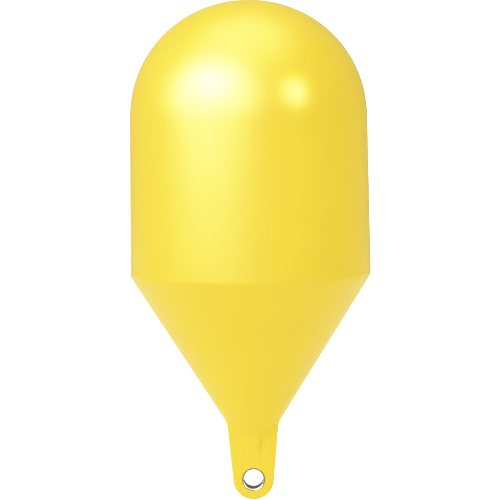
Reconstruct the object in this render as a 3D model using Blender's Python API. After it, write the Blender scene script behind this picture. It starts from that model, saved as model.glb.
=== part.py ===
"""Moored navigation buoy with a domed top, a cylindrical body, a conical underside and a mooring eye.

Units are metres. +Z is up and the origin lies on the body's axis at the design waterline.
The eye's bore runs along Y, and the front of the buoy is -Y. The shell of body and lug is one
rotationally moulded, foam-filled polyethylene moulding; it is divided here at a flat plane where
the cone becomes the root of the lug.
"""
import math

import bmesh
import bpy
from mathutils import Matrix, Vector

# --- overall sizes ---
BODY_DIAMETER = 0.400          # at the knuckle between wall and cone
WATERLINE_ABOVE_KNUCKLE = 0.100
WALL_HEIGHT = 0.262            # knuckle to the foot of the dome
WALL_DRAFT = math.radians(0.6)
DOME_HEIGHT = 0.196
DOME_FULLNESS = 2.03           # exponent of the dome's section: 2 is a plain ellipse
KNUCKLE_RADIUS = 0.018
CONE_HALF_ANGLE = math.radians(32.4)

# --- eye sleeve ---
SLEEVE_BORE_RADIUS = 0.016
SLEEVE_WALL = 0.0025
SLEEVE_PROUD = 0.0006          # how far each end stands out of the lug's face
SLEEVE_END_CHAMFER = 0.0005
EYE_BELOW_CONE_TIP = 0.024     # eye centre below the point where the cone's sides would meet

# --- mooring lug ---
LUG_THICKNESS = 0.047
LUG_RIM_WIDTH = 0.0155         # plastic left round the sleeve at the lug's round end
LUG_SIDE_ANGLE = math.radians(5.4)
LUG_EDGE_RADIUS = 0.004
LUG_CORNER_COVER = 0.0035      # how far inside the cone the plate's top corners end
LUG_ROOT_ABOVE_PLATE = 0.0055  # cone left between the plate's top and the parting to the hull
GUSSET_TOP_WIDTH = 0.0245
GUSSET_FOOT_WIDTH = 0.020
GUSSET_SLOPE = math.radians(8.0)
GUSSET_FOOT_ABOVE_SLEEVE = 0.0095
GUSSET_EDGE_RADIUS = 0.002
GUSSET_BURIED = 0.008          # length of each end that runs on inside the cone or the plate

# --- filling plug, on the rear of the cone ---
PLUG_BELOW_KNUCKLE = 0.153     # along the cone's flank to the middle of the plug
PLUG_SHANK_RADIUS = 0.0125
PLUG_SHANK_LENGTH = 0.018
PLUG_FLANGE_OVERHANG = 0.009
PLUG_FLANGE_THICKNESS = 0.005
PLUG_SEAT_MARGIN = 0.003       # flat left round the flange
PLUG_SEAT_DEPTH = 0.0035
PLUG_HEX_RADIUS = 0.0115       # corner radius of the hexagon head
PLUG_HEX_HEIGHT = 0.0065
PLUG_HEX_CHAMFER = 0.0008
PLUG_EDGE_RADIUS = 0.0015
GASKET_THICKNESS = 0.0022
GASKET_INSET = 0.004           # how far the gasket stops short of the flange's rim

GAP = 0.0003                   # clearance between neighbouring pieces
CUTTER_REACH = 0.010           # how far a cutter runs past the surface it cuts
BODY_SEGMENTS = 96
SMALL_SEGMENTS = 48

# --- heights that follow from the sizes above ---
BODY_RADIUS = BODY_DIAMETER / 2
KNUCKLE_Z = -WATERLINE_ABOVE_KNUCKLE
DOME_FOOT_Z = KNUCKLE_Z + WALL_HEIGHT
DOME_FOOT_RADIUS = BODY_RADIUS - WALL_HEIGHT * math.tan(WALL_DRAFT)
CONE_TIP_Z = KNUCKLE_Z - BODY_RADIUS / math.tan(CONE_HALF_ANGLE)
EYE_Z = CONE_TIP_Z - EYE_BELOW_CONE_TIP
SLEEVE_RADIUS = SLEEVE_BORE_RADIUS + SLEEVE_WALL
LUG_END_RADIUS = SLEEVE_RADIUS + GAP + LUG_RIM_WIDTH
GUSSET_FOOT_Z = EYE_Z + SLEEVE_RADIUS + GUSSET_FOOT_ABOVE_SLEEVE
PLUG_FLANGE_RADIUS = PLUG_SHANK_RADIUS + PLUG_FLANGE_OVERHANG
PLUG_SEAT_RADIUS = PLUG_FLANGE_RADIUS + PLUG_SEAT_MARGIN

# A frame on the cone's rear flank for the plug: its own +Z points out of the cone's surface.
PLUG_OUT = Vector((0, math.cos(CONE_HALF_ANGLE), -math.sin(CONE_HALF_ANGLE)))
PLUG_CENTRE = Vector((0, BODY_RADIUS - PLUG_BELOW_KNUCKLE * math.sin(CONE_HALF_ANGLE),
                      KNUCKLE_Z - PLUG_BELOW_KNUCKLE * math.cos(CONE_HALF_ANGLE)))
PLUG_FRAME = Matrix.Translation(PLUG_CENTRE) @ PLUG_OUT.to_track_quat("Z", "Y").to_matrix().to_4x4()
EYE_FRAME = Matrix.Translation((0, 0, EYE_Z)) @ Matrix.Rotation(math.radians(-90), 4, "X")


def cone_radius(z):
    return (z - CONE_TIP_Z) * math.tan(CONE_HALF_ANGLE)


def plate_half_width(z):
    return (LUG_END_RADIUS + (z - EYE_Z) * math.sin(LUG_SIDE_ANGLE)) / math.cos(LUG_SIDE_ANGLE)


def plate_top_height():
    """Height at which the plate's corners lie LUG_CORNER_COVER inside the cone's surface.

    Solves (u * cone - cover)**2 = (foot + u * side)**2 + half_thickness**2 for u, the height above
    the cone's tip."""
    cone, side = math.tan(CONE_HALF_ANGLE), math.tan(LUG_SIDE_ANGLE)
    foot, half = plate_half_width(CONE_TIP_Z), LUG_THICKNESS / 2
    a = cone * cone - side * side
    b = LUG_CORNER_COVER * cone + foot * side
    c = foot * foot + half * half - LUG_CORNER_COVER ** 2
    return CONE_TIP_Z + (b + math.sqrt(b * b + a * c)) / a


PLATE_TOP_Z = plate_top_height()
ROOT_Z = PLATE_TOP_Z + LUG_ROOT_ABOVE_PLATE


def clear_scene():
    for obj in list(bpy.data.objects):
        bpy.data.objects.remove(obj, do_unlink=True)


def make_material(name, colour, roughness, metallic):
    material = bpy.data.materials.new(name)
    material.use_nodes = True
    shader = material.node_tree.nodes["Principled BSDF"]
    shader.inputs["Base Color"].default_value = (*colour, 1)
    shader.inputs["Roughness"].default_value = roughness
    shader.inputs["Metallic"].default_value = metallic
    return material


def finish_object(name, bm, material, frame=None):
    """Turns bm into a named object with its place in the mesh and round faces shaded smooth."""
    if frame is not None:
        bmesh.ops.transform(bm, matrix=frame, verts=bm.verts)
    bmesh.ops.recalc_face_normals(bm, faces=bm.faces)
    mesh = bpy.data.meshes.new(name)
    bm.to_mesh(mesh)
    bm.free()
    mesh.shade_smooth()
    mesh.set_sharp_from_angle(angle=math.radians(28))
    if material is not None:
        mesh.materials.append(material)
    obj = bpy.data.objects.new(name, mesh)
    bpy.context.scene.collection.objects.link(obj)
    return obj


def tool_object(name, bm, frame=None):
    tool = finish_object(name, bm, None, frame)
    tool.hide_render = True
    tool.display_type = "WIRE"
    return tool


def combine(obj, tool, operation):
    modifier = obj.modifiers.new(tool.name, "BOOLEAN")
    modifier.operation = operation
    modifier.solver = "EXACT"
    modifier.object = tool


def lathe(profile, segments):
    """Turns (radius, height) points about Z. A profile that starts and ends on the axis is a solid,
    and one that ends where it starts is a ring."""
    bm = bmesh.new()
    closed = profile[0] == profile[-1]
    points = profile[:-1] if closed else profile
    verts = [bm.verts.new((r, 0, z)) for r, z in points]
    pairs = list(zip(verts, verts[1:])) + ([(verts[-1], verts[0])] if closed else [])
    edges = [bm.edges.new(pair) for pair in pairs]
    bmesh.ops.spin(bm, geom=verts + edges, cent=(0, 0, 0), axis=(0, 0, 1), dvec=(0, 0, 0),
                   angle=2 * math.pi, steps=segments, use_merge=True, use_duplicate=False)
    bmesh.ops.remove_doubles(bm, verts=bm.verts, dist=1e-6)
    return bm


def prism(outline, depth):
    """A solid between -depth/2 and +depth/2 in Y over an outline of (x, z) points."""
    bm = bmesh.new()
    front = bm.faces.new([bm.verts.new((x, -depth / 2, z)) for x, z in outline])
    pushed = bmesh.ops.extrude_face_region(bm, geom=[front])["geom"]
    moved = [v for v in pushed if isinstance(v, bmesh.types.BMVert)]
    bmesh.ops.translate(bm, verts=moved, vec=(0, depth, 0))
    return bm


def bevel_edges(bm, edges, radius, segments):
    bmesh.ops.bevel(bm, geom=edges, offset=radius, segments=segments, profile=0.5,
                    affect="EDGES", material=-1, clamp_overlap=True)


def hull_profile():
    """Section of the body from the crown down to the flat foot where the lug's root begins."""
    points = []
    steps = 20
    for i in range(steps + 1):
        angle = math.pi / 2 * i / steps
        s, c = math.sin(angle), math.cos(angle)
        power = 2 / DOME_FULLNESS
        radius = DOME_FOOT_RADIUS * s ** power if i else 0.0
        height = DOME_HEIGHT * c ** power if i < steps else 0.0
        points.append((radius, DOME_FOOT_Z + height))
    # knuckle: an arc tangent to the drafted wall and to the cone
    turn = CONE_HALF_ANGLE + WALL_DRAFT
    tangent = KNUCKLE_RADIUS * math.tan(turn / 2)
    start_r = BODY_RADIUS - tangent * math.sin(WALL_DRAFT)
    start_z = KNUCKLE_Z + tangent * math.cos(WALL_DRAFT)
    centre_r = start_r - KNUCKLE_RADIUS * math.cos(WALL_DRAFT)
    centre_z = start_z - KNUCKLE_RADIUS * math.sin(WALL_DRAFT)
    steps = 8
    for i in range(steps + 1):
        angle = WALL_DRAFT - turn * i / steps
        points.append((centre_r + KNUCKLE_RADIUS * math.cos(angle),
                       centre_z + KNUCKLE_RADIUS * math.sin(angle)))
    return points + [(cone_radius(ROOT_Z), ROOT_Z), (0.0, ROOT_Z)]


def make_hull(material):
    hull = finish_object("float_hull", lathe(hull_profile(), BODY_SEGMENTS), material)
    hole = PLUG_SHANK_RADIUS + GAP
    seat = lathe([(0.0, -PLUG_SHANK_LENGTH - GAP), (hole, -PLUG_SHANK_LENGTH - GAP),
                  (hole, -PLUG_SEAT_DEPTH), (PLUG_SEAT_RADIUS, -PLUG_SEAT_DEPTH),
                  (PLUG_SEAT_RADIUS, CUTTER_REACH), (0.0, CUTTER_REACH)], SMALL_SEGMENTS)
    combine(hull, tool_object("plug_hole_cutter", seat, PLUG_FRAME), "DIFFERENCE")
    return hull


def lug_outline():
    """Front view of the lug's plate: a round end about the eye and straight sides that part upward."""
    points = []
    steps = 20
    start, end = math.pi - LUG_SIDE_ANGLE, 2 * math.pi + LUG_SIDE_ANGLE
    for i in range(steps + 1):
        angle = start + (end - start) * i / steps
        points.append((LUG_END_RADIUS * math.cos(angle), EYE_Z + LUG_END_RADIUS * math.sin(angle)))
    half = plate_half_width(PLATE_TOP_Z)
    return points + [(half, PLATE_TOP_Z), (-half, PLATE_TOP_Z)]


def gusset_block(side):
    """Ramp on one face of the lug, from the cone down to where it runs out above the eye."""
    face, slope, cone = LUG_THICKNESS / 2, math.tan(GUSSET_SLOPE), math.tan(CONE_HALF_ANGLE)
    length = (face - cone_radius(GUSSET_FOOT_Z)) / (cone - slope)
    widen = (GUSSET_TOP_WIDTH - GUSSET_FOOT_WIDTH) / 2 / length
    inner = face - 2 * GUSSET_EDGE_RADIUS - GUSSET_BURIED * slope
    draft = 0.0015
    bm = bmesh.new()
    rings = []
    for rise in (-GUSSET_BURIED, length + GUSSET_BURIED):
        half, z = GUSSET_FOOT_WIDTH / 2 + widen * rise, GUSSET_FOOT_Z + rise
        outline = ((-half - draft, inner), (half + draft, inner),
                   (half, face + rise * slope), (-half, face + rise * slope))
        rings.append([bm.verts.new((x, side * y, z)) for x, y in outline])
    low, high = rings
    bm.faces.new(low)
    bm.faces.new(high)
    for i in range(4):
        bm.faces.new((low[i], low[(i + 1) % 4], high[(i + 1) % 4], high[i]))
    crests = [bm.edges.get((low[i], high[i])) for i in (2, 3)]
    bevel_edges(bm, crests, GUSSET_EDGE_RADIUS, 3)
    return bm


def make_lug(material):
    top, tip = ROOT_Z - GAP, CONE_TIP_Z + LUG_THICKNESS / 4
    root = lathe([(0.0, top), (cone_radius(top), top), (cone_radius(tip), tip), (0.0, tip)], BODY_SEGMENTS)
    lug = finish_object("mooring_lug", root, material)
    plate = prism(lug_outline(), LUG_THICKNESS)
    rims = [e for e in plate.edges if abs(e.verts[0].co.y - e.verts[1].co.y) < 1e-6]
    bevel_edges(plate, rims, LUG_EDGE_RADIUS, 4)
    combine(lug, tool_object("lug_plate", plate), "UNION")
    for side, name in ((-1, "front_gusset"), (1, "rear_gusset")):
        combine(lug, tool_object(name, gusset_block(side)), "UNION")
    reach = LUG_THICKNESS / 2 + CUTTER_REACH
    hole = SLEEVE_RADIUS + GAP
    bore = lathe([(0.0, -reach), (hole, -reach), (hole, reach), (0.0, reach)], SMALL_SEGMENTS)
    combine(lug, tool_object("eye_bore_cutter", bore, EYE_FRAME), "DIFFERENCE")
    return lug


def make_sleeve(material):
    half = LUG_THICKNESS / 2 + SLEEVE_PROUD
    c = SLEEVE_END_CHAMFER
    inner, outer = SLEEVE_BORE_RADIUS, SLEEVE_RADIUS
    profile = [(inner, -half + c), (inner + c, -half), (outer - c, -half), (outer, -half + c),
               (outer, half - c), (outer - c, half), (inner + c, half), (inner, half - c)]
    return finish_object("eye_sleeve", lathe(profile + profile[:1], SMALL_SEGMENTS), material, EYE_FRAME)


def rounded_corner(radius, height, edge, steps=4):
    """Points of a quarter round at a disc's outer top corner, from the side to the top."""
    return [(radius - edge + edge * math.cos(a), height - edge + edge * math.sin(a))
            for a in (math.pi / 2 * i / steps for i in range(steps + 1))]


def make_gasket(material):
    inner, outer = PLUG_SHANK_RADIUS + GAP, PLUG_FLANGE_RADIUS - GASKET_INSET
    low = -PLUG_SEAT_DEPTH + GAP
    high = low + GASKET_THICKNESS
    profile = [(inner, low), (outer, low), (outer, high), (inner, high), (inner, low)]
    return finish_object("plug_gasket", lathe(profile, SMALL_SEGMENTS), material, PLUG_FRAME)


def make_plug(material):
    under = -PLUG_SEAT_DEPTH + GAP + GASKET_THICKNESS + GAP
    top = under + PLUG_FLANGE_THICKNESS
    profile = [(0.0, -PLUG_SHANK_LENGTH), (PLUG_SHANK_RADIUS - 0.001, -PLUG_SHANK_LENGTH),
               (PLUG_SHANK_RADIUS, -PLUG_SHANK_LENGTH + 0.001), (PLUG_SHANK_RADIUS, under),
               (PLUG_FLANGE_RADIUS, under)]
    profile += rounded_corner(PLUG_FLANGE_RADIUS, top, PLUG_EDGE_RADIUS)
    profile += [(0.0, top)]
    plug = finish_object("fill_plug", lathe(profile, SMALL_SEGMENTS), material, PLUG_FRAME)
    foot, crest, hexagon = top - PLUG_FLANGE_THICKNESS / 2, top + PLUG_HEX_HEIGHT, PLUG_HEX_RADIUS
    head = lathe([(0.0, foot), (hexagon, foot), (hexagon, crest - PLUG_HEX_CHAMFER),
                  (hexagon - PLUG_HEX_CHAMFER, crest), (0.0, crest)], 6)
    combine(plug, tool_object("plug_hexagon", head, PLUG_FRAME), "UNION")
    return plug


def build():
    clear_scene()
    yellow = make_material("yellow_polyethylene", (0.93, 0.68, 0.045), 0.36, 0.0)
    steel = make_material("stainless_steel", (0.62, 0.60, 0.57), 0.30, 1.0)
    cap = make_material("yellow_plug_polyethylene", (0.88, 0.62, 0.04), 0.42, 0.0)
    rubber = make_material("black_rubber", (0.022, 0.022, 0.023), 0.70, 0.0)
    make_hull(yellow)
    make_lug(yellow)
    make_sleeve(steel)
    make_gasket(rubber)
    make_plug(cap)


build()
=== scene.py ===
import math

import bmesh
import bpy
import numpy as np
from mathutils import Matrix, Vector


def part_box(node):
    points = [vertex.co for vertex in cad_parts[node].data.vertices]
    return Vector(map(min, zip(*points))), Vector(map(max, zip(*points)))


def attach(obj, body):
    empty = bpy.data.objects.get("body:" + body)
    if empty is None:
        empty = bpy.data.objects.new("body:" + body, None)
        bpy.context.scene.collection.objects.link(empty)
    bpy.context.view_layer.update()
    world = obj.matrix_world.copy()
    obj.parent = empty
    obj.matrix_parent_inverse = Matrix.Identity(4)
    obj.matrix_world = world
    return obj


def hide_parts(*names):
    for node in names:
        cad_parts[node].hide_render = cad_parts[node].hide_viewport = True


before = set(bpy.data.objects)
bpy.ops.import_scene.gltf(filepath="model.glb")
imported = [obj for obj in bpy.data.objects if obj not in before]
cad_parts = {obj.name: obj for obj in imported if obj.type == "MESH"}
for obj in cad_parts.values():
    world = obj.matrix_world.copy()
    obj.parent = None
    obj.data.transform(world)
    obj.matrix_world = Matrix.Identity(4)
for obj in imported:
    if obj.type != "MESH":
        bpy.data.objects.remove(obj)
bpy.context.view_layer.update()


# ---------------------------------------------------------------------------------------------
# The moulding: domed body, cone and mooring lug in one piece. It is a rotationally moulded
# polyethylene shell, coloured right through and filled with foam. The mould is in two halves,
# and its parting line runs over the crown, down both sides and round the narrow edge of the lug.

hull_low, hull_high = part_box("float_hull")
lug_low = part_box("mooring_lug")[0]
sleeve_low, sleeve_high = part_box("eye_sleeve")

body_radius = 0.200                      # at the knuckle between wall and cone
knuckle_z = -0.100
wall_height, wall_draft = 0.262, math.radians(0.6)
dome_fullness = 2.03                     # exponent of the dome's section: 2 is a plain ellipse
knuckle_radius = 0.018
cone_half_angle = math.radians(32.4)

sleeve_proud = 0.0006                    # how far the eye's sleeve stands out of the lug's face
eye_z = (sleeve_low.z + sleeve_high.z) / 2
sleeve_radius = (sleeve_high.x - sleeve_low.x) / 2
lug_end_radius = eye_z - lug_low.z
lug_face = sleeve_high.y - sleeve_proud  # half the lug's thickness
lug_side_angle = math.radians(5.4)
lug_edge_radius = 0.0045
lug_root_fillet = 0.0035
gusset_foot_z = eye_z + sleeve_radius + 0.0095
gusset_foot_half, gusset_widen = 0.0100, 0.040
gusset_slope = math.radians(8.0)
gusset_edge_radius, gusset_fillet = 0.0025, 0.0035

dome_foot_z = knuckle_z + wall_height
dome_foot_radius = body_radius - wall_height * math.tan(wall_draft)
dome_height = hull_high.z - dome_foot_z
cone_tip_z = knuckle_z - body_radius / math.tan(cone_half_angle)
lug_start_z = hull_low.z + 0.045         # above this the cone is plain

columns = 320                            # round the body
parting_width, parting_height = 0.0005, 0.0003


def body_section():
    """(radius, height) points from the crown down to where the cone begins to turn into the lug."""
    points = []
    for i in range(45):
        angle = math.pi / 2 * i / 44
        points.append((dome_foot_radius * math.sin(angle) ** (2 / dome_fullness),
                       dome_foot_z + dome_height * abs(math.cos(angle)) ** (2 / dome_fullness)))
    points[0] = (0.0, hull_high.z)
    points[-1] = (dome_foot_radius, dome_foot_z)
    turn = cone_half_angle + wall_draft
    tangent = knuckle_radius * math.tan(turn / 2)
    start = Vector((body_radius - tangent * math.sin(wall_draft), knuckle_z + tangent * math.cos(wall_draft)))
    centre = start - knuckle_radius * Vector((math.cos(wall_draft), math.sin(wall_draft)))
    foot = Vector(points[-1])
    points += [tuple(foot.lerp(start, i / 18)) for i in range(1, 18)]
    for i in range(13):
        angle = wall_draft - turn * i / 12
        points.append((centre.x + knuckle_radius * math.cos(angle),
                       centre.y + knuckle_radius * math.sin(angle)))
    last = Vector(points[-1])
    end = Vector(((lug_start_z - cone_tip_z) * math.tan(cone_half_angle), lug_start_z))
    return points + [tuple(last.lerp(end, i / 36)) for i in range(1, 37)]


def rounded_block(across, through, edge):
    """Distance to a block from the distances to its two pairs of faces, its edges rounded."""
    a, b = across + edge, through + edge
    return np.hypot(np.maximum(a, 0), np.maximum(b, 0)) + np.minimum(np.maximum(a, b), 0) - edge


def filleted(a, b, fillet):
    """Two shapes joined as one, with a fillet in the corner between them."""
    near = np.maximum(fillet - np.abs(a - b), 0) / fillet
    return np.minimum(a, b) - near * near * fillet / 4


def lug_distance(x, y, z):
    """Distance to the skin of cone, lug plate and gussets: below 0 is inside the moulding."""
    x, y = np.abs(x), np.abs(y)
    cone = (np.hypot(x, y) - (z - cone_tip_z) * math.tan(cone_half_angle)) * math.cos(cone_half_angle)
    s, c, rise = math.sin(lug_side_angle), math.cos(lug_side_angle), z - eye_z
    outline = np.where(x * s + rise * c > 0, x * c - rise * s, np.hypot(x, rise)) - lug_end_radius
    plate = rounded_block(outline, y - lug_face, lug_edge_radius)
    rise = z - gusset_foot_z
    gusset = rounded_block(x - gusset_foot_half - gusset_widen * rise,
                           (y - lug_face) * math.cos(gusset_slope) - rise * math.sin(gusset_slope),
                           gusset_edge_radius)
    gusset = np.maximum(gusset, gusset_foot_z - 0.02 - z)
    return filleted(filleted(cone, plate, lug_root_fillet), gusset, gusset_fillet)


def reach(x, y, z):
    """How many times (x, y) goes into the distance from the axis to the skin, at height z."""
    low, high = np.zeros_like(z), np.full_like(z, 2.0)
    for _ in range(34):
        middle = (low + high) / 2
        inside = lug_distance(x * middle, y * middle, z) < 0
        low, high = np.where(inside, middle, low), np.where(inside, high, middle)
    return (low + high) / 2


def moulding_shell():
    """One spin about the axis, whose lowest rings are then drawn in to the lug's own section."""
    section = body_section()
    straight = np.linspace(lug_start_z, eye_z, 98)[1:]
    turn = np.linspace(0, math.pi / 2, 37)[1:]
    heights = np.concatenate([straight, eye_z - lug_end_radius * np.sin(turn)])
    heights[-1] = lug_low.z + 2e-5
    base = 0.08
    half_x = base * reach(np.full_like(heights, base), np.zeros_like(heights), heights)
    half_y = base * reach(np.zeros_like(heights), np.full_like(heights, base), heights)
    section += list(zip(half_x, heights))

    bm = bmesh.new()
    verts = [bm.verts.new((r, 0, z)) for r, z in section]
    edges = [bm.edges.new(pair) for pair in zip(verts, verts[1:])]
    bmesh.ops.spin(bm, geom=verts + edges, cent=(0, 0, 0), axis=(0, 0, 1), dvec=(0, 0, 0),
                   angle=2 * math.pi, steps=columns, use_merge=True, use_duplicate=False)
    bmesh.ops.remove_doubles(bm, verts=bm.verts, dist=1e-6)

    levels = np.array([z for _, z in section])
    wide = np.array([r for r, _ in section])
    deep = np.concatenate([wide[:-len(half_y)], half_y])
    co = np.array([v.co for v in bm.verts])
    ring = np.searchsorted(-levels, -co[:, 2] - 2e-6)
    step = np.round(np.arctan2(co[:, 1], co[:, 0]) / (2 * math.pi / columns)).astype(int)
    # columns crowd in on the parting line, so that it stays fine on the wide body
    home = np.where(np.abs(step) > columns // 4, np.where(step > 0, columns // 2, -columns // 2), 0)
    away = step - home
    offsets = np.array([0, 1, 2.4, 7.2, 15, 24, 34, 44]) * parting_width
    k = np.abs(away)
    regular = k * 2 * math.pi / columns
    crowded = offsets[np.minimum(k, len(offsets) - 1)] / np.maximum(deep[ring], 1e-4)
    angle = np.where(k < len(offsets), np.minimum(regular, crowded), regular) * np.sign(away) \
        + home * 2 * math.pi / columns
    x, y, z = wide[ring] * np.cos(angle), deep[ring] * np.sin(angle), levels[ring]
    in_lug = ring >= len(section) - len(heights)
    scale = np.ones(len(co))
    scale[in_lug] = reach(x[in_lug], y[in_lug], z[in_lug])
    bottom = ring == len(section) - 1
    x, y = np.where(bottom, 0.0, x * scale), y * scale
    z = np.where(bottom, lug_low.z, z)
    for v, place in zip(bm.verts, np.stack([x, y, z], 1)):
        v.co = place
    bm.verts.index_update()
    parting = [(v, deep[ring[i]]) for i, v in enumerate(bm.verts) if k[i] == 0 and not bottom[i]]
    bmesh.ops.recalc_face_normals(bm, faces=bm.faces)
    bm.normal_update()
    for v, radius in parting:
        v.co += v.normal * parting_height * min(1.0, radius / 0.02)
    bmesh.ops.remove_doubles(bm, verts=bm.verts, dist=2e-5)
    bmesh.ops.dissolve_degenerate(bm, edges=bm.edges, dist=1e-6)
    return bm


def spun_solid(profile, steps, place):
    """Turns (radius, height) points about +Z and moves the solid to its place."""
    bm = bmesh.new()
    verts = [bm.verts.new((r, 0, z)) for r, z in profile]
    edges = [bm.edges.new(pair) for pair in zip(verts, verts[1:])]
    if profile[0][0] > 0:
        edges.append(bm.edges.new((verts[-1], verts[0])))
    bmesh.ops.spin(bm, geom=verts + edges, cent=(0, 0, 0), axis=(0, 0, 1), dvec=(0, 0, 0),
                   angle=2 * math.pi, steps=steps, use_merge=True, use_duplicate=False)
    bmesh.ops.remove_doubles(bm, verts=bm.verts, dist=1e-6)
    bmesh.ops.transform(bm, matrix=place, verts=bm.verts)
    bmesh.ops.recalc_face_normals(bm, faces=bm.faces)
    return bm


def finished(name, bm, sharp=35):
    """A named object from bm, shaded smooth except over edges sharper than that many degrees."""
    mesh = bpy.data.meshes.new(name)
    bm.to_mesh(mesh)
    bm.free()
    mesh.shade_smooth()
    mesh.set_sharp_from_angle(angle=math.radians(sharp))
    obj = bpy.data.objects.new(name, mesh)
    bpy.context.scene.collection.objects.link(obj)
    return obj


def arc(centre, radius, start, end, steps):
    """(radius, height) points of an arc, with its angles in degrees."""
    angles = [math.radians(start + (end - start) * i / steps) for i in range(steps + 1)]
    return [(centre[0] + radius * math.cos(a), centre[1] + radius * math.sin(a)) for a in angles]


def cut(obj, cutters):
    """Takes the cutters out of obj, and leaves obj with a plain mesh."""
    for cutter in cutters:
        modifier = obj.modifiers.new("cut", "BOOLEAN")
        modifier.operation, modifier.solver, modifier.object = "DIFFERENCE", "EXACT", cutter
    evaluated = obj.evaluated_get(bpy.context.evaluated_depsgraph_get())
    mesh = bpy.data.meshes.new_from_object(evaluated)
    obj.modifiers.clear()
    obj.data = mesh
    mesh.name = obj.name
    for cutter in cutters:
        bpy.data.objects.remove(cutter)
    mesh.set_sharp_from_angle(angle=math.radians(35))


eye_place = Matrix.Translation((0, 0, eye_z)) @ Matrix.Rotation(math.radians(-90), 4, "X")
eye_rim = 0.0012                         # rounding of the plastic where it meets the sleeve
eye_hole = [(0.0, -lug_face - 0.01), (sleeve_radius + eye_rim, -lug_face - 0.01)]
eye_hole += arc((sleeve_radius + eye_rim, -lug_face + eye_rim), eye_rim, 270, 180, 5)
eye_hole += arc((sleeve_radius + eye_rim, lug_face - eye_rim), eye_rim, 180, 90, 5)
eye_hole += [(sleeve_radius + eye_rim, lug_face + 0.01), (0.0, lug_face + 0.01)]

gasket_low, gasket_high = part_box("plug_gasket")
plug_out = Vector((0, math.cos(cone_half_angle), -math.sin(cone_half_angle)))
plug_seat_depth, plug_seat_radius, plug_hole_radius = 0.0035, 0.0245, 0.0128
plug_centre = (gasket_low + gasket_high) / 2 + plug_out * 0.0021
plug_place = Matrix.Translation(plug_centre) @ plug_out.to_track_quat("Z", "Y").to_matrix().to_4x4()
seat_edge = 0.0015
plug_hole_depth = 0.0183
plug_seat = [(0.0, -plug_hole_depth), (plug_hole_radius, -plug_hole_depth),
             (plug_hole_radius, -plug_seat_depth)]
plug_seat += arc((plug_seat_radius - seat_edge, -plug_seat_depth + seat_edge), seat_edge, 270, 360, 5)
plug_seat += [(plug_seat_radius + 0.0004, 0.0), (plug_seat_radius + 0.0012, 0.010), (0.0, 0.010)]

moulding = finished("buoy_moulding", moulding_shell())
cut(moulding, [finished("eye_cutter", spun_solid(eye_hole, 96, eye_place)),
               finished("plug_cutter", spun_solid(plug_seat, 96, plug_place))])


def node(tree, kind, place, **inputs):
    """A shader node with its input values set by name, with _ for spaces."""
    made = tree.nodes.new(kind)
    made.location = (place[0] * 220, place[1] * 220)
    for name, value in inputs.items():
        made.inputs[name.replace("_", " ")].default_value = value
    return made


def moulded_polyethylene(name, light, deep, roughness):
    """Satin polyethylene with the faint orange peel and the uneven gloss of a rotomoulded skin."""
    material = bpy.data.materials.new(name)
    material.use_nodes = True
    tree = material.node_tree
    shader = tree.nodes["Principled BSDF"]
    shader.inputs["IOR"].default_value = 1.5
    place = node(tree, "ShaderNodeTexCoord", (-6, 0))

    cloud = node(tree, "ShaderNodeTexNoise", (-4, 2), Scale=5.0, Detail=3.0, Roughness=0.5)
    tint = node(tree, "ShaderNodeValToRGB", (-3, 2))
    tint.color_ramp.elements[0].position, tint.color_ramp.elements[1].position = 0.3, 0.7
    tint.color_ramp.elements[0].color, tint.color_ramp.elements[1].color = (*deep, 1), (*light, 1)

    gloss = node(tree, "ShaderNodeTexNoise", (-4, 0), Scale=28.0, Detail=4.0, Roughness=0.6)
    gloss_range = node(tree, "ShaderNodeMapRange", (-2, 0), To_Min=roughness - 0.03, To_Max=roughness + 0.04)

    peel = node(tree, "ShaderNodeTexNoise", (-4, -2), Scale=420.0, Detail=2.0, Roughness=0.45)
    wave = node(tree, "ShaderNodeTexNoise", (-4, -3), Scale=22.0, Detail=1.0, Roughness=0.4)
    wave_bump = node(tree, "ShaderNodeBump", (-2, -3), Strength=0.12, Distance=0.002)
    peel_bump = node(tree, "ShaderNodeBump", (-1, -2), Strength=0.10, Distance=0.0004)

    for texture in (cloud, gloss, peel, wave):
        tree.links.new(place.outputs["Object"], texture.inputs["Vector"])
    tree.links.new(cloud.outputs["Fac"], tint.inputs["Fac"])
    tree.links.new(tint.outputs["Color"], shader.inputs["Base Color"])
    tree.links.new(gloss.outputs["Fac"], gloss_range.inputs["Value"])
    tree.links.new(gloss_range.outputs["Result"], shader.inputs["Roughness"])
    tree.links.new(wave.outputs["Fac"], wave_bump.inputs["Height"])
    tree.links.new(wave_bump.outputs["Normal"], peel_bump.inputs["Normal"])
    tree.links.new(peel.outputs["Fac"], peel_bump.inputs["Height"])
    tree.links.new(peel_bump.outputs["Normal"], shader.inputs["Normal"])
    return material


moulding.data.materials.clear()
moulding.data.materials.append(moulded_polyethylene("yellow_polyethylene_skin",
                                                    (0.92, 0.660, 0.020), (0.89, 0.635, 0.018), 0.31))
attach(moulding, "root")
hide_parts("float_hull", "mooring_lug")


# ---------------------------------------------------------------------------------------------
# The eye's sleeve: a thin-walled steel tube moulded into the lug, so that the shackle wears on
# metal. Its ends are belled out a little and rounded over.

sleeve_bore = 0.0160
bell = 0.0022                            # radius of the turned-out end
sleeve_chamfer = 0.0004


def sleeve_end(side):
    """Points round one end of the tube's wall, from the bore to the outside."""
    half = sleeve_high.y * side
    inner = [(sleeve_bore + bell * (1 - math.cos(a)),
              half - side * (sleeve_chamfer + bell * (1 - math.sin(a))))
             for a in (math.radians(12 * i) for i in range(7))]
    crest_r = inner[-1][0]
    return inner + [(crest_r + sleeve_chamfer, half), (sleeve_radius - sleeve_chamfer, half),
                    (sleeve_radius, half - side * sleeve_chamfer)]


profile = sleeve_end(-1) + sleeve_end(1)[::-1]
sleeve = finished("eye_sleeve_tube", spun_solid(profile, 128, eye_place))


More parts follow.
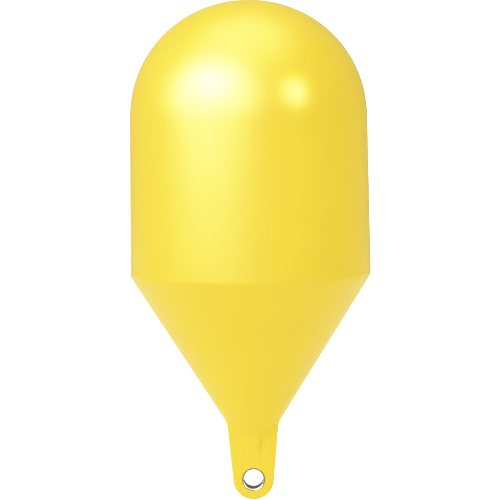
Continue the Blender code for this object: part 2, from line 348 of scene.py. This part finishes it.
def steel_with_painted_shade(name):
    """Drawn steel tube: brushed round the bore, with painted shade that runs from dark brown deep inside to
    bright steel at its mouths, and a painted shadow round its outer rim.
    """
    material = bpy.data.materials.new(name)
    material.use_nodes = True
    tree = material.node_tree
    shader = tree.nodes["Principled BSDF"]
    shader.inputs["Metallic"].default_value = 1.0
    place = node(tree, "ShaderNodeTexCoord", (-6, 0))
    stretch = node(tree, "ShaderNodeMapping", (-5, 0), Scale=(1.0, 14.0, 1.0))
    grain = node(tree, "ShaderNodeTexNoise", (-4, 0), Scale=160.0, Detail=3.0, Roughness=0.6)
    # painted shade in the bore: the colour runs from dark brown deep inside the tube to bright steel at its
    # mouths
    split = node(tree, "ShaderNodeSeparateXYZ", (-5, 2))
    depth = node(tree, "ShaderNodeMath", (-4, 2))
    depth.operation = "ABSOLUTE"
    mouth = node(tree, "ShaderNodeMapRange", (-3, 2), From_Min=lug_face - 0.008, From_Max=lug_face - 0.001)
    bore_shade = node(tree, "ShaderNodeValToRGB", (-2, 2))
    bore_shade.color_ramp.elements[0].color = (0.20, 0.15, 0.09, 1)
    bore_shade.color_ramp.elements[1].color = (0.66, 0.62, 0.56, 1)
    gloss = node(tree, "ShaderNodeMapRange", (-2, 0), To_Min=0.26, To_Max=0.42)
    bump = node(tree, "ShaderNodeBump", (-1, -1), Strength=0.25, Distance=0.0002)
    tree.links.new(place.outputs["Object"], stretch.inputs["Vector"])
    tree.links.new(stretch.outputs["Vector"], grain.inputs["Vector"])
    tree.links.new(place.outputs["Object"], split.inputs["Vector"])
    tree.links.new(split.outputs["Y"], depth.inputs[0])
    tree.links.new(depth.outputs["Value"], mouth.inputs["Value"])
    tree.links.new(mouth.outputs["Result"], bore_shade.inputs["Fac"])
    # painted shadow: the outermost part of the tube's wall, where it meets the plastic, is mixed to dark
    # brown
    from_bore = node(tree, "ShaderNodeMapping", (-5, 4), Location=(0, 0, -eye_z), Scale=(1, 0, 1))
    radius = node(tree, "ShaderNodeVectorMath", (-4, 4))
    radius.operation = "LENGTH"
    rim = node(tree, "ShaderNodeMapRange", (-3, 4),
               From_Min=sleeve_radius - 0.0014, From_Max=sleeve_radius - 0.0007)
    rim_shadow = node(tree, "ShaderNodeMix", (-1, 3))
    rim_shadow.data_type = "RGBA"
    rim_shadow.inputs["B"].default_value = (0.13, 0.085, 0.04, 1)
    tree.links.new(place.outputs["Object"], from_bore.inputs["Vector"])
    tree.links.new(from_bore.outputs["Vector"], radius.inputs[0])
    tree.links.new(radius.outputs["Value"], rim.inputs["Value"])
    tree.links.new(rim.outputs["Result"], rim_shadow.inputs["Factor"])
    tree.links.new(bore_shade.outputs["Color"], rim_shadow.inputs["A"])
    tree.links.new(rim_shadow.outputs["Result"], shader.inputs["Base Color"])
    tree.links.new(grain.outputs["Fac"], gloss.inputs["Value"])
    tree.links.new(gloss.outputs["Result"], shader.inputs["Roughness"])
    tree.links.new(grain.outputs["Fac"], bump.inputs["Height"])
    tree.links.new(bump.outputs["Normal"], shader.inputs["Normal"])
    return material


sleeve.data.materials.append(steel_with_painted_shade("sleeve_steel_with_painted_shade"))
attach(sleeve, "root")
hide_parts("eye_sleeve")


# ---------------------------------------------------------------------------------------------
# The filling plug and its gasket, on the rear of the cone. The hull is filled with foam through
# this hole; an injection-moulded plug with a hexagon head then screws down on a rubber washer.

gasket_foot, gasket_top = -plug_seat_depth, -plug_seat_depth + 0.0026
gasket_inner, gasket_outer = plug_hole_radius, 0.0178
bulge = (gasket_top - gasket_foot) / 2
ring = [(gasket_inner, gasket_foot), (gasket_inner, gasket_top)]
ring += arc((gasket_outer, gasket_foot + bulge), bulge, 90, -90, 6)
gasket = finished("plug_washer", spun_solid(ring, 96, plug_place))

flange_radius, flange_edge, plug_shank_radius = 0.0215, 0.0016, 0.0124
flange_foot, flange_top = gasket_top, gasket_top + 0.0050
hexagon_radius, hexagon_height = 0.0115, 0.0065
hexagon_draft, hexagon_root = 0.975, 0.002   # top over foot, and how far it starts inside the flange
plug_shank_foot, plug_shank_chamfer = -0.0178, 0.001
turned = [(0.0, plug_shank_foot), (plug_shank_radius - plug_shank_chamfer, plug_shank_foot),
          (plug_shank_radius, plug_shank_foot + plug_shank_chamfer)]
turned += [(plug_shank_radius, flange_foot)]
turned += arc((flange_radius - 0.0006, flange_foot + 0.0006), 0.0006, 270, 360, 3)
turned += arc((flange_radius - flange_edge, flange_top - flange_edge), flange_edge, 0, 90, 6)
turned += [(hexagon_radius + 0.0022, flange_top)]
turned += arc((hexagon_radius + 0.0022, flange_top - 0.0006), 0.0006, 90, 150, 2)
turned += [(0.0, flange_top - 0.0008)]
plug = finished("filling_plug", spun_solid(turned, 96, plug_place))


def hexagon_head():
    """The head's hexagon, with its top corners and its upright edges rounded as moulded."""
    bm = bmesh.new()
    bmesh.ops.create_cone(bm, cap_ends=True, cap_tris=False, segments=6, radius1=hexagon_radius,
                          radius2=hexagon_radius * hexagon_draft, depth=hexagon_height + hexagon_root)
    bmesh.ops.translate(bm, verts=bm.verts,
                        vec=(0, 0, flange_top - hexagon_root + (hexagon_height + hexagon_root) / 2))
    bmesh.ops.bevel(bm, geom=list(bm.edges), offset=0.0009, segments=4, profile=0.5,
                    affect="EDGES", material=-1)
    bmesh.ops.transform(bm, matrix=plug_place, verts=bm.verts)
    bmesh.ops.recalc_face_normals(bm, faces=bm.faces)
    return bm


head = finished("hexagon_head", hexagon_head(), 60)
union = plug.modifiers.new("head", "BOOLEAN")
union.operation, union.solver, union.object = "UNION", "EXACT", head
cut(plug, [])
bpy.data.objects.remove(head)

plug.data.materials.clear()
plug.data.materials.append(moulded_polyethylene("plug_polyethylene_skin",
                                                (0.90, 0.58, 0.020), (0.86, 0.55, 0.016), 0.42))
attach(plug, "root")
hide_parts("fill_plug")

rubber = bpy.data.materials.new("washer_rubber")
rubber.use_nodes = True
tree = rubber.node_tree
shader = tree.nodes["Principled BSDF"]
place = node(tree, "ShaderNodeTexCoord", (-5, 0))
bloom = node(tree, "ShaderNodeTexNoise", (-4, 0), Scale=240.0, Detail=4.0, Roughness=0.6)
shade = node(tree, "ShaderNodeValToRGB", (-3, 1))
shade.color_ramp.elements[0].color = (0.012, 0.012, 0.012, 1)
shade.color_ramp.elements[1].color = (0.05, 0.05, 0.048, 1)
dull = node(tree, "ShaderNodeMapRange", (-3, -1), To_Min=0.55, To_Max=0.8)
grit = node(tree, "ShaderNodeBump", (-1, -1), Strength=0.3, Distance=0.0002)
tree.links.new(place.outputs["Object"], bloom.inputs["Vector"])
tree.links.new(bloom.outputs["Fac"], shade.inputs["Fac"])
tree.links.new(shade.outputs["Color"], shader.inputs["Base Color"])
tree.links.new(bloom.outputs["Fac"], dull.inputs["Value"])
tree.links.new(dull.outputs["Result"], shader.inputs["Roughness"])
tree.links.new(bloom.outputs["Fac"], grit.inputs["Height"])
tree.links.new(grit.outputs["Normal"], shader.inputs["Normal"])
gasket.data.materials.append(rubber)
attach(gasket, "root")
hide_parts("plug_gasket")


# ---------------------------------------------------------------------------------------------
# The studio: a plain pale floor some way below the buoy, in a white room. Diffuse light comes
# from the room, a key and a top light; what the skin mirrors is set apart from it. Floor and
# room are plain white where they are seen directly.

scene = bpy.context.scene
floor_mesh = bpy.data.meshes.new("floor")
bm = bmesh.new()
floor_half, floor_drop = 8.0, 0.35
bmesh.ops.create_grid(bm, x_segments=1, y_segments=1, size=floor_half)
bmesh.ops.translate(bm, verts=bm.verts, vec=(0, 0, lug_low.z - floor_drop))
bm.to_mesh(floor_mesh)
bm.free()
floor = bpy.data.objects.new("floor", floor_mesh)
scene.collection.objects.link(floor)

paper = bpy.data.materials.new("white_paper")
paper.use_nodes = True
tree = paper.node_tree
tree.nodes["Principled BSDF"].inputs["Base Color"].default_value = (0.86, 0.86, 0.85, 1)
tree.nodes["Principled BSDF"].inputs["Roughness"].default_value = 0.9
seen = node(tree, "ShaderNodeLightPath", (-3, 2))
glow = node(tree, "ShaderNodeEmission", (-1, -3), Color=(1, 1, 1, 1), Strength=3.0)
choose = node(tree, "ShaderNodeMixShader", (1.3, 1))
tree.links.new(seen.outputs["Is Camera Ray"], choose.inputs["Fac"])
tree.links.new(tree.nodes["Principled BSDF"].outputs["BSDF"], choose.inputs[1])
tree.links.new(glow.outputs["Emission"], choose.inputs[2])
tree.links.new(choose.outputs["Shader"], tree.nodes["Material Output"].inputs["Surface"])
floor_mesh.materials.append(paper)


def direction(azimuth, elevation):
    """The way from the buoy to a light: azimuth 0 is the front, and 90 the right."""
    a, e = math.radians(azimuth), math.radians(elevation)
    return Vector((math.sin(a) * math.cos(e), -math.cos(a) * math.cos(e), math.sin(e)))


room = bpy.data.worlds.new("studio_room")
scene.world = room
room.use_nodes = True
room.cycles.sampling_method = "NONE"
tree = room.node_tree
seen = node(tree, "ShaderNodeLightPath", (-8, 3))
way = node(tree, "ShaderNodeTexCoord", (-8, 0))
ambient, gloss_floor, backdrop = 0.97, 0.30, 3.0
total = None
# softboxes as the skin mirrors them: azimuth, elevation, brightness, reach in degrees and falloff
for i, (azimuth, elevation, brightness, spread, falloff) in enumerate((
        (49, 23, 34.0, 12, 1.0), (-16, 81, 6.0, 45, 1.4))):
    dot = node(tree, "ShaderNodeVectorMath", (-6, -i))
    dot.operation = "DOT_PRODUCT"
    dot.inputs[1].default_value = direction(azimuth, elevation)
    front = node(tree, "ShaderNodeMapRange", (-5, -i), From_Min=math.cos(math.radians(spread)))
    lobe = node(tree, "ShaderNodeMath", (-4, -i))
    lobe.operation, lobe.inputs[1].default_value = "POWER", falloff
    scaled = node(tree, "ShaderNodeMath", (-3, -i))
    scaled.operation, scaled.inputs[1].default_value = "MULTIPLY", brightness
    tree.links.new(way.outputs["Generated"], dot.inputs[0])
    tree.links.new(dot.outputs["Value"], front.inputs["Value"])
    tree.links.new(front.outputs["Result"], lobe.inputs[0])
    tree.links.new(lobe.outputs["Value"], scaled.inputs[0])
    join = node(tree, "ShaderNodeMath", (-2, -i))
    join.operation = "ADD"
    tree.links.new(scaled.outputs["Value"], join.inputs[0])
    if total is None:
        join.inputs[1].default_value = gloss_floor
    else:
        tree.links.new(total.outputs["Value"], join.inputs[1])
    total = join
mirrored = node(tree, "ShaderNodeMix", (-1, 0))
mirrored.inputs["A"].default_value = ambient
tree.links.new(seen.outputs["Is Glossy Ray"], mirrored.inputs["Factor"])
tree.links.new(total.outputs["Value"], mirrored.inputs["B"])
strength = node(tree, "ShaderNodeMix", (0, 0))
strength.inputs["B"].default_value = backdrop
tree.links.new(seen.outputs["Is Camera Ray"], strength.inputs["Factor"])
tree.links.new(mirrored.outputs["Result"], strength.inputs["A"])
tree.links.new(strength.outputs["Result"], tree.nodes["Background"].inputs["Strength"])
tree.nodes["Background"].inputs["Color"].default_value = (1, 1, 1, 1)


def softbox(name, azimuth, place, width, height, radiance, mirrored):
    """An upright area light, which lights the buoy or is only mirrored in its skin."""
    light = bpy.data.lights.new(name, "AREA")
    light.shape, light.size, light.size_y = ("ELLIPSE" if mirrored else "RECTANGLE"), width, height
    light.energy = radiance * math.pi * width * height
    lamp = bpy.data.objects.new(name, light)
    lamp.location = place
    facing = direction(azimuth, 0) if mirrored else Vector(place).normalized()
    lamp.rotation_mode = "QUATERNION"
    lamp.rotation_quaternion = facing.to_track_quat("Z", "Y")
    lamp.visible_camera = False
    lamp.visible_diffuse, lamp.visible_glossy = not mirrored, mirrored
    scene.collection.objects.link(lamp)


softbox("key_light", -48, direction(-48, 30) * 2.4, 1.4, 1.4, 1.8, False)
softbox("top_light", -10, direction(-10, 82) * 2.6, 1.6, 1.6, 0.8, False)
# the key's mirror image is brightest in the middle, as a lit diffuser is
diffuser_azimuth = -38
diffuser_place = direction(diffuser_azimuth, 0) * 1.3 + Vector((0, 0, 0.94))
for i in range(7):
    softbox(f"diffuser_{i}", diffuser_azimuth, diffuser_place,
            0.7 + 0.29 * i, 0.5 + 0.21 * i, 7.0, True)

# the picture's response: straight up to the bright tones, then a soft shoulder
view = scene.view_settings
view.view_transform = "Standard"
view.use_curve_mapping = True
curves = view.curve_mapping
curves.white_level = (2.0, 2.0, 2.0)
shoulder = 0.80
combined = curves.curves[3]
combined.points[0].location, combined.points[-1].location = (0, 0), (1, 1)
for x in (0.2, 0.4, 0.46, 0.52, 0.6, 0.7, 0.82):
    value = 2 * x
    over = max(value - shoulder, 0) / (1 - shoulder)
    bent = min(value, shoulder) + (1 - shoulder) * (1 - math.exp(-over))
    combined.points.new(x, bent)
curves.update()

camera_data = bpy.data.cameras.new("camera")
camera = bpy.data.objects.new("camera", camera_data)
scene.collection.objects.link(camera)
distance, elevation, roll = 6.0, math.radians(4.06), math.radians(0.80)
view_width = 0.8320                      # what the view spans at the buoy
aim = Vector((-0.0007, 0.0, -0.0577))
back = Vector((0, -math.cos(elevation), math.sin(elevation)))
camera_data.sensor_width = 36.0
camera_data.lens = camera_data.sensor_width * distance / view_width
camera_data.clip_start, camera_data.clip_end = 0.05, 200.0
camera.location = aim + back * distance
camera.rotation_mode = "QUATERNION"
camera.rotation_quaternion = back.to_track_quat("Z", "Y") @ Matrix.Rotation(-roll, 3, "Z").to_quaternion()
scene.camera = camera
